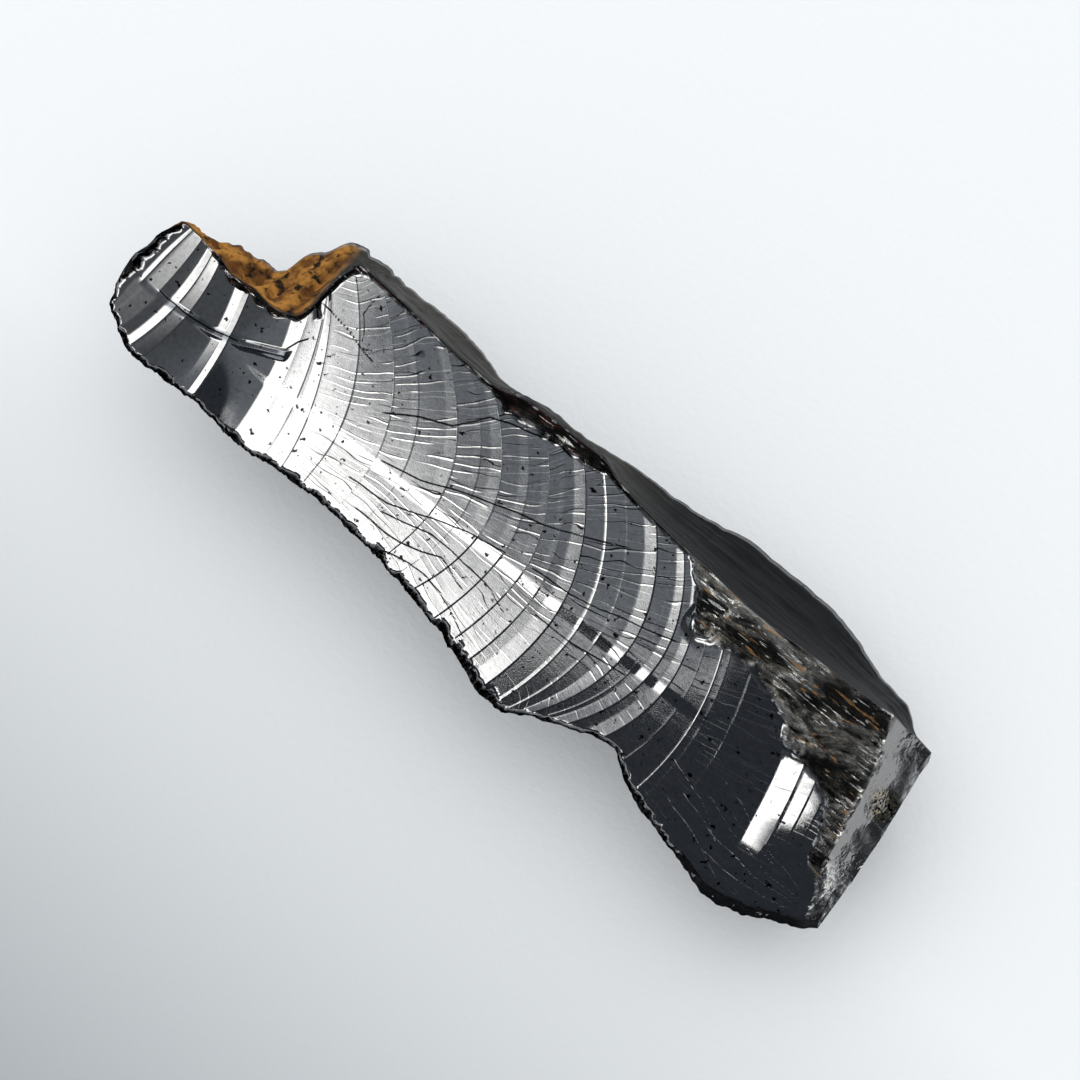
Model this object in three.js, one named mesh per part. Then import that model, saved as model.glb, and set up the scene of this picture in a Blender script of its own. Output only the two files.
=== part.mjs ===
// A splinter of elite shungite: one natural stone, about 52 mm long, with a shell-like fracture on top.
// The fracture ran along the stone from its narrow tip to its broad end and left a rib wherever it paused.
// Millimetres, +Z up, +X from the tip to the broad end. The origin is on what the stone lies on, under its middle.
import * as THREE from "three";

// Driving dimensions, in millimetres
const tipX = -26.75; // where the fracture starts, at the narrow end
const endX = 25.75; // nose of the last front, at the broad end
const rowGap = 0.72; // widest space between two rows of facets along the stone
const tipCapLength = 0.35; // how far the broken tip stands out
const endFaceX = 24.4; // middle of the scooped face that closes the broad end
const footTipX = -23.4; // the underside reaches from here ...
const footEndX = 24.2; // ... to here
const restTipX = -14; // its flat part, which the stone lies on, reaches from here ...
const restEndX = 22.6; // ... to here
const tipUndersideZ = 4.7; // height of the underside below the tip
const endRiseSlope = 0.35; // how fast the underside rises behind the flat part
const nearInset = 3.1; // how far the near side leans in below its overhanging edge
const leanShift = 1.9; // the near side also leans along the stone by this much
const leanHeight = 7; // full height of the near side
const leastFootWidth = 0.8; // the underside is nowhere narrower

// Facets round the stone, from the near edge over the top and back underneath
const columns = { top: 22, flank: 5, farUnder: 3, base: 3, nearUnder: 4 };
const capRings = 3; // rings of facets that close each end

// Edges of the stone, each a list of [x, y, z] that runs from the tip to the broad end.
// The near edge bounds the top fracture at the front and overhangs.
const nearEdge = [
  [-26.6, -2.6, 8.4], [-26.0, -4.1, 8.3], [-25.1, -4.6, 8.1], [-24.2, -5.2, 8.0], [-23.0, -5.5, 7.9],
  [-21.1, -5.4, 7.7], [-18.4, -5.2, 7.5], [-15.3, -5.4, 7.3], [-12.3, -5.2, 7.1], [-9.8, -5.2, 7.0],
  [-6.1, -5.5, 7.0], [-2.4, -6.1, 7.0], [0.0, -6.6, 7.0], [2.3, -7.3, 7.0], [4.2, -7.9, 6.9],
  [5.1, -7.9, 6.8], [6.8, -7.1, 6.8], [8.6, -6.5, 6.8], [10.3, -5.9, 6.9], [11.6, -5.8, 7.0],
  [12.4, -6.3, 7.0], [13.1, -6.7, 7.0], [15.0, -7.4, 6.8], [17.2, -7.9, 6.7], [18.8, -8.3, 6.6],
  [20.0, -8.6, 6.5], [21.6, -8.3, 6.4], [23.6, -7.4, 6.2], [24.9, -6.8, 6.1], [25.9, -6.0, 6.0],
];

// The ridge bounds the top fracture at the back. It steps in at the notch, near x = -17.
const ridge = [
  [-26.6, 1.5, 8.7], [-25.8, 2.2, 8.6], [-24.4, 2.0, 8.5], [-23.0, 1.8, 8.4], [-21.8, 1.5, 8.4],
  [-20.5, 1.6, 8.5], [-18.9, 1.4, 8.8], [-17.4, 1.8, 9.2], [-17.0, 2.6, 9.3], [-16.8, 4.7, 9.7],
  [-16.3, 6.0, 10.0], [-14.6, 5.9, 10.1], [-11.6, 5.6, 10.2], [-8.8, 5.3, 10.2], [-6.2, 5.2, 10.2],
  [-3.6, 5.7, 10.2], [-0.7, 5.7, 10.2], [1.0, 5.7, 10.2], [2.7, 5.2, 10.2], [5.2, 4.8, 10.2],
  [7.8, 4.5, 10.2], [10.8, 4.2, 10.1], [13.5, 4.0, 9.9], [16.1, 4.1, 9.7], [18.8, 4.2, 9.4],
  [21.2, 4.3, 8.9], [23.4, 4.7, 8.0],
];

// The far edge is the widest line at the back, where the flank turns under. It dips at the notch.
const farEdge = [
  [-26.4, 1.9, 8.0], [-25.6, 2.5, 7.4], [-24.6, 3.0, 6.8], [-22.8, 3.9, 6.3], [-21.2, 4.0, 6.1],
  [-20.6, 4.4, 6.1], [-20.3, 5.6, 6.3], [-19.3, 6.7, 6.6], [-18.6, 7.6, 6.8], [-17.5, 8.1, 6.6],
  [-14.7, 8.0, 6.0], [-11.5, 7.9, 6.0], [-9.1, 7.6, 6.0], [-7.7, 7.1, 6.4], [-6.1, 6.6, 7.0],
  [-3.3, 6.8, 7.6], [-0.9, 6.75, 7.6], [1.5, 7.15, 7.2], [2.9, 7.4, 6.8], [5.0, 7.6, 6.2],
  [7.5, 8.0, 5.8], [9.7, 8.5, 5.5], [12.3, 8.5, 5.2], [14.8, 8.5, 4.9], [17.2, 8.0, 4.8],
  [19.5, 7.1, 5.0], [21.7, 6.6, 5.3], [23.2, 5.5, 5.6], [24.7, 4.7, 5.8],
];

// Far edge of the underside: [x, y]
const farFootEdge = [[-24, 0.2], [-18, 1.4], [-12, 2.7], [-4, 3.3], [4, 3.8], [14, 4.4], [20, 4.0], [24, 2.9]];

// Broken faces are scooped like shells: middle of each scoop along the stone, half its length, its depth
const flankScoops = [
  { x: -20.5, half: 3.4, depth: 0.5 }, { x: -12, half: 6, depth: 0.3 }, { x: 8, half: 17, depth: 0.3 },
];
const farUnderScoops = [
  { x: -17, half: 7, depth: 0.4 }, { x: -3, half: 8, depth: -0.3 }, { x: 13, half: 9, depth: 0.35 },
];
const nearUnderScoops = [
  { x: -16, half: 8, depth: 0.5 }, { x: 0, half: 9, depth: 0.6 }, { x: 17, half: 8, depth: 0.5 },
];

// Where the fracture front stood: how far its nose had come, the nose's y, how sharply the front
// bends back above and below its nose (1/mm), and where the same row of facets meets the far edge.
const fronts = [
  { nose: -26.75, y: -0.4, up: -0.16, down: -0.1, farX: -26.4 },
  { nose: -24.8, y: -1.2, up: 0.02, down: 0.06, farX: -25.0 },
  { nose: -22.3, y: -2.2, up: 0.09, down: 0.08, farX: -23.0 },
  { nose: -18.8, y: -6.0, up: 0.053, down: 0.05, farX: -20.5 },
  { nose: -15.1, y: -6.0, up: 0.054, down: 0.05, farX: -18.3 },
  { nose: -12.6, y: -6.0, up: 0.082, down: 0.04, farX: -16.6 },
  { nose: -11.1, y: -3.6, up: 0.125, down: 0.03, farX: -15.2 },
  { nose: -6.0, y: -2.4, up: 0.18, down: 0.08, farX: -10.6 },
  { nose: -1.5, y: -1.6, up: 0.2, down: 0.12, farX: -6.0 },
  { nose: 0.1, y: -1.6, up: 0.18, down: 0.075, farX: -4.2 },
  { nose: 4.7, y: -3.0, up: 0.13, down: 0.075, farX: 0.6 },
  { nose: 10.3, y: -1.4, up: 0.16, down: 0.16, farX: 7.2 },
  { nose: 15.7, y: -5.0, up: 0.06, down: 0.05, farX: 13.4 },
  { nose: 22.4, y: -8.0, up: 0.035, down: 0.03, farX: 21.0 },
  { nose: 25.75, y: -8.0, up: 0.014, down: 0.02, farX: 24.6 },
];

// The ribs: where each crest stands, how long its rise is and how high. Behind the crest it drops again.
const ribDrop = 0.16; // length of the steep side behind a crest
const ribs = [
  { at: -24.4, rise: 0.8, height: 0.08 }, { at: -22.3, rise: 1.0, height: 0.14 },
  { at: -18.9, rise: 1.4, height: 0.2 }, { at: -15.1, rise: 1.7, height: 0.26 },
  { at: -12.6, rise: 1.2, height: 0.17 }, { at: -11.1, rise: 1.2, height: 0.08 },
  { at: -4.4, rise: 1.2, height: 0.06 }, { at: -1.5, rise: 1.3, height: 0.14 },
  { at: 0.2, rise: 1.0, height: 0.08 }, { at: 4.7, rise: 1.3, height: 0.2 },
  { at: 7.6, rise: 1.2, height: 0.13 }, { at: 10.2, rise: 1.2, height: 0.15 },
  { at: 12.1, rise: 0.8, height: 0.08 }, { at: 13.2, rise: 0.8, height: 0.07 },
  { at: 15.8, rise: 1.0, height: 0.08 }, { at: 18.6, rise: 1.2, height: 0.06 },
  { at: 21.6, rise: 1.5, height: 0.22 },
];

// Inner edge of the crushed band, which lies between the top fracture and the ridge: [x, y]
const bandEdge = [
  [7.4, 4.9], [9.0, 3.7], [10.2, 2.6], [11.4, 1.5], [12.8, 1.5], [14.7, 1.6], [16.4, 1.1], [17.8, 0.5],
  [18.6, -0.2], [19.8, -0.5], [20.9, -0.8], [22.1, -1.4], [22.8, -2.4], [23.3, -4.2], [24.1, -4.8],
  [25.3, -6.2],
];
const bandDepth = 0.75; // how far the crushed band lies below the fracture
const bandWall = 0.5; // width of the wall between the two
const bandStart = 8.3; // the band begins here, along the stone
const hook = { x: 11.6, y: 2.0, radius: 1.4, depth: 0.45 }; // round hollow where the band begins

// The slant that takes off the top at the broad end: its inner edge [y, x], and how much it falls
const slantEdge = [
  [-7.0, 25.2], [-5.2, 24.5], [-3.7, 23.9], [-2.3, 23.6], [-0.7, 23.3], [1.4, 22.9], [3.7, 22.2], [5.0, 21.9],
];
const slantFall = 0.7; // millimetres down for each millimetre outwards
const slantHollow = 0.35; // it is scooped by this much

const slantReach = 2; // its scoop is as long as this
const slantAtFarEdge = 0.35; // share of the fall that is left at the far edge

// The ledge of missing flakes just below the ridge, at the middle of the stone
const ledge = { from: -6.4, to: 8.4, width: 1.1, wall: 0.5, ramp: 1.5, depth: 0.45 };

const clamp = (v, lo, hi) => Math.min(hi, Math.max(lo, v));
const mix = (a, b, t) => a + (b - a) * t;
const smooth = (lo, hi, v) => {
  const t = clamp((v - lo) / (hi - lo), 0, 1);
  return t * t * (3 - 2 * t);
};

// Reads a list of points at one value of its first number, along a curve that never overshoots
function read(points, x, key = 1, by = 0) {
  const last = points.length - 1;
  if (x <= points[0][by]) return points[0][key];
  if (x >= points[last][by]) return points[last][key];
  let i = 0;
  while (x > points[i + 1][by]) i++;
  const slope = (j) => (points[j + 1][key] - points[j][key]) / (points[j + 1][by] - points[j][by]);
  const gentle = (a, b) => (a * b <= 0 ? 0 : (2 * a * b) / (a + b));
  const here = slope(i);
  const start = i > 0 ? gentle(slope(i - 1), here) : here;
  const stop = i < last - 1 ? gentle(here, slope(i + 1)) : here;
  const span = points[i + 1][by] - points[i][by];
  const t = (x - points[i][by]) / span;
  const a = points[i][key];
  const b = points[i + 1][key];
  return (
    a * (1 + 2 * t) * (1 - t) ** 2 + b * t * t * (3 - 2 * t) +
    span * (start * t * (1 - t) ** 2 + stop * t * t * (t - 1))
  );
}

// A front's shape at any nose position
const frontAt = (nose) =>
  Object.fromEntries(["y", "up", "down", "farX"].map((key) => [key, read(fronts, nose, key, "nose")]));

const frontX = (nose, front, y) => {
  const d = y - front.y;
  return nose - 0.5 * d * d * (d > 0 ? front.up : front.down);
};

// Where a front meets an edge that lies at its inside value (low y) or its outside value (high y)
function crossing(nose, front, edge, low, high) {
  for (let k = 0; k < 30; k++) {
    const y = (low + high) / 2;
    if (read(edge, frontX(nose, front, y)) > y) low = y;
    else high = y;
  }
  const x = frontX(nose, front, low);
  return new THREE.Vector3(x, low, read(edge, x, 2));
}

// Height that the ribs add on a front: a slow rise to each crest and a short steep side behind it
function ribHeight(nose) {
  let sum = 0;
  for (const { at, rise, height } of ribs) {
    if (nose > at - rise && nose <= at) sum += height * ((nose - at + rise) / rise) ** 2;
    else if (nose > at && nose < at + ribDrop) sum += height * (1 - (nose - at) / ribDrop);
  }
  return sum;
}

// Height of the top surface above the straight line from the near edge to the ridge
function relief(x, y, nose, fromNear, toRidge) {
  const nearRim = smooth(0, 0.6, fromNear);
  const ridgeRim = smooth(0, 0.6, toRidge);
  const band = smooth(0, bandWall, y - read(bandEdge, x)) * smooth(bandStart - 1, bandStart + 1, x);
  let h = ribHeight(nose) * (1 - band) * (0.4 + 0.6 * nearRim * ridgeRim);
  h -= band * bandDepth * smooth(0, 1.6, toRidge) * (0.8 + 0.2 * Math.sin(3.1 * y + 0.5 * x));
  h -= hook.depth * smooth(hook.radius, hook.radius / 4, Math.hypot(x - hook.x, y - hook.y));
  const along = smooth(ledge.from, ledge.from + ledge.ramp, x) * smooth(ledge.to, ledge.to - ledge.ramp, x);
  h -= ledge.depth * along * smooth(ledge.width, ledge.width - ledge.wall, toRidge) * ridgeRim;
  return h;
}

// The broad end's slant: how far below the top surface it lies, or nothing where it doesn't reach
function slantDrop(x, y) {
  const out = x - read(slantEdge, y, 1, 0);
  return out > 0 ? out * slantFall + slantHollow * Math.sin(clamp(out / slantReach, 0, 1) * Math.PI) : 0;
}

// The underside at a share of the stone's length: flat, and rising towards both ends
function baseAt(share) {
  const x = mix(footTipX, footEndX, share);
  const tipRise = tipUndersideZ * clamp((restTipX - x) / (restTipX - footTipX), 0, 1) ** 1.6;
  return { x, z: tipRise + Math.max(0, x - restEndX) * endRiseSlope };
}

// Points across a broken face from one edge towards another, sunk by the scoops that it has
function face(from, to, count, scoops) {
  const out = new THREE.Vector3(0, from.z - to.z, to.y - from.y).normalize();
  const points = [];
  for (let k = 0; k < count; k++) {
    const t = k / count;
    const p = from.clone().lerp(to, t);
    let depth = 0;
    for (const scoop of scoops) {
      depth += scoop.depth * Math.max(0, 1 - ((p.x - scoop.x) / scoop.half) ** 2);
    }
    points.push(p.addScaledVector(out, -depth * 4 * t * (1 - t)));
  }
  return points;
}

// One closed ring of the stone at a front: top, flank, under the far edge, base, under the near edge
function ring(nose) {
  const front = frontAt(nose);
  const near = crossing(nose, front, nearEdge, -12, -1.2);
  const back = crossing(nose, front, ridge, -1.2, 9);
  const far = new THREE.Vector3(front.farX, read(farEdge, front.farX), read(farEdge, front.farX, 2));
  const base = baseAt((nose - tipX) / (endX - tipX));
  const farFoot = new THREE.Vector3(base.x, read(farFootEdge, base.x), base.z);
  const lean = clamp((near.z - base.z) / leanHeight, 0, 1);
  const nearFootY = read(nearEdge, base.x + leanShift * lean) + nearInset * lean;
  const nearFoot = new THREE.Vector3(base.x, Math.min(nearFootY, farFoot.y - leastFootWidth), base.z);

  const top = [];
  for (let k = 0; k < columns.top; k++) {
    const t = k / columns.top;
    const y = mix(near.y, back.y, t);
    const x = frontX(nose, front, y);
    const z = mix(near.z, back.z, t) + relief(x, y, nose, y - near.y, back.y - y) - slantDrop(x, y);
    top.push(new THREE.Vector3(x, y, z));
  }
  back.z -= slantDrop(back.x, back.y);
  far.z -= slantAtFarEdge * slantDrop(far.x, far.y);
  return [
    ...top,
    ...face(back, far, columns.flank, flankScoops),
    ...face(far, farFoot, columns.farUnder, farUnderScoops),
    ...face(farFoot, nearFoot, columns.base, []),
    ...face(nearFoot, near, columns.nearUnder, nearUnderScoops),
  ];
}

// Where the rows of facets stand: at each crest, before its rise and behind its steep side, and between
function rowPlaces() {
  const marks = [tipX, endX];
  for (const { at, rise } of ribs) marks.push(at - rise, at - rise / 3, at, at + ribDrop);
  marks.sort((a, b) => a - b);
  const places = [marks[0]];
  for (const mark of marks.slice(1)) {
    const from = places[places.length - 1];
    if (mark - from < ribDrop * 0.6) continue;
    const steps = Math.ceil((mark - from) / rowGap);
    for (let k = 1; k <= steps; k++) places.push(mix(from, mark, k / steps));
  }
  return places;
}

// Rings that close one end: each is the end's ring drawn in towards its middle
function cap(edgeRing, middleX) {
  const middle = edgeRing.reduce((sum, p) => sum.add(p), new THREE.Vector3()).divideScalar(edgeRing.length);
  middle.x = middleX;
  const rings = [];
  for (let k = 1; k <= capRings; k++) {
    rings.push(edgeRing.map((p) => p.clone().lerp(middle, k / (capRings + 1))));
  }
  return { rings, middle };
}

// The stone: a sphere's facets, each vertex taken to its place on a ring
function stoneGeometry() {
  const body = rowPlaces().map(ring);
  const tip = cap(body[0], tipX - tipCapLength);
  const end = cap(body[body.length - 1], endFaceX);
  const rows = [...tip.rings.reverse(), ...body, ...end.rings];
  const around = rows[0].length;
  const geometry = new THREE.SphereGeometry(1, around, rows.length + 1);
  const position = geometry.getAttribute("position");
  for (let i = 0; i < position.count; i++) {
    const row = Math.floor(i / (around + 1)) - 1;
    const column = i % (around + 1);
    let p = row < 0 ? tip.middle : end.middle;
    if (row >= 0 && row < rows.length) p = rows[row][column % around];
    position.setXYZ(i, p.x, p.y, p.z);
  }
  geometry.computeVertexNormals();
  return geometry;
}

const shungite = new THREE.MeshStandardMaterial({ color: 0x3a3c40, roughness: 0.28, metalness: 0.75 });

const stone = new THREE.Mesh(stoneGeometry(), shungite);
stone.name = "shungite_splinter";

// The lists above are measured from a mark near the middle, so the stone is moved to stand over the origin
stone.geometry.computeBoundingBox();
const middle = stone.geometry.boundingBox.getCenter(new THREE.Vector3());
stone.position.set(-middle.x, -middle.y, 0);

const part = new THREE.Group();
part.add(stone);

export default part;
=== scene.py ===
import math
from bisect import bisect_right
import bpy
import bmesh
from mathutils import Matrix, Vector, noise


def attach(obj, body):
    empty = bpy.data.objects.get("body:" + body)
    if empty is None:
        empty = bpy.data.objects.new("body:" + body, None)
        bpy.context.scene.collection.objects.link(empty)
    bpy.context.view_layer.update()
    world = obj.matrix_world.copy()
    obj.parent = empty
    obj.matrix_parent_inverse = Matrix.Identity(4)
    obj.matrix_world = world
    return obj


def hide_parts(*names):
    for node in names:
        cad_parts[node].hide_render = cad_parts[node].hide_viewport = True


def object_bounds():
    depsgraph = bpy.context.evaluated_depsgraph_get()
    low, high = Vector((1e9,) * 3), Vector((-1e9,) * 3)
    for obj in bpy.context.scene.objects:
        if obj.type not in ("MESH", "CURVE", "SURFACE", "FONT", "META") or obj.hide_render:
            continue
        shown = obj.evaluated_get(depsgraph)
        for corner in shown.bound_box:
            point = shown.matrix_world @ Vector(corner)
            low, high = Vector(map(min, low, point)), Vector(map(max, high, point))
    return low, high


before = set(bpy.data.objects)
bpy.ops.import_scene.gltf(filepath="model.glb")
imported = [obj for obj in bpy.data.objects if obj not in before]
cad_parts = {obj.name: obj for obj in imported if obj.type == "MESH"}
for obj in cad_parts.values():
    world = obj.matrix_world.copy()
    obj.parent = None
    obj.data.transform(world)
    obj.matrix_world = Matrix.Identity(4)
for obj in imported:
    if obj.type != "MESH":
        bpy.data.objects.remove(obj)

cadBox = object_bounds()
mm = 0.001
scene = bpy.context.scene
scene.view_settings.view_transform = "Standard"

# Where the photograph was taken from
cameraView = {
    "azimuth": 40.0,
    "elevation": 68.0,
    "lens": 120.0,
    "sensor": 36.0,
    "frameWidth": 1080.0,  # pixels
    "pixelsPerMm": 18.5,
    "lookAt": (1.69, 0.75, 7.0),  # mm
}


def viewDirection(azimuth, elevation):
    a, e = math.radians(azimuth), math.radians(elevation)
    return Vector((math.sin(a) * math.cos(e), -math.cos(a) * math.cos(e), math.sin(e)))


def addCamera(spec):
    data = bpy.data.cameras.new("camera")
    data.lens = spec["lens"]
    data.sensor_width = spec["sensor"]
    data.clip_start = 0.01
    camera = bpy.data.objects.new("camera", data)
    scene.collection.objects.link(camera)
    towards = viewDirection(spec["azimuth"], spec["elevation"])
    distance = spec["lens"] * spec["frameWidth"] / spec["sensor"] / spec["pixelsPerMm"] * mm
    camera.location = Vector(spec["lookAt"]) * mm + towards * distance
    camera.rotation_euler = towards.to_track_quat("Z", "Y").to_euler()
    scene.camera = camera
    print("camera placed", round(distance, 3), "m away")


addCamera(cameraView)

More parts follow.
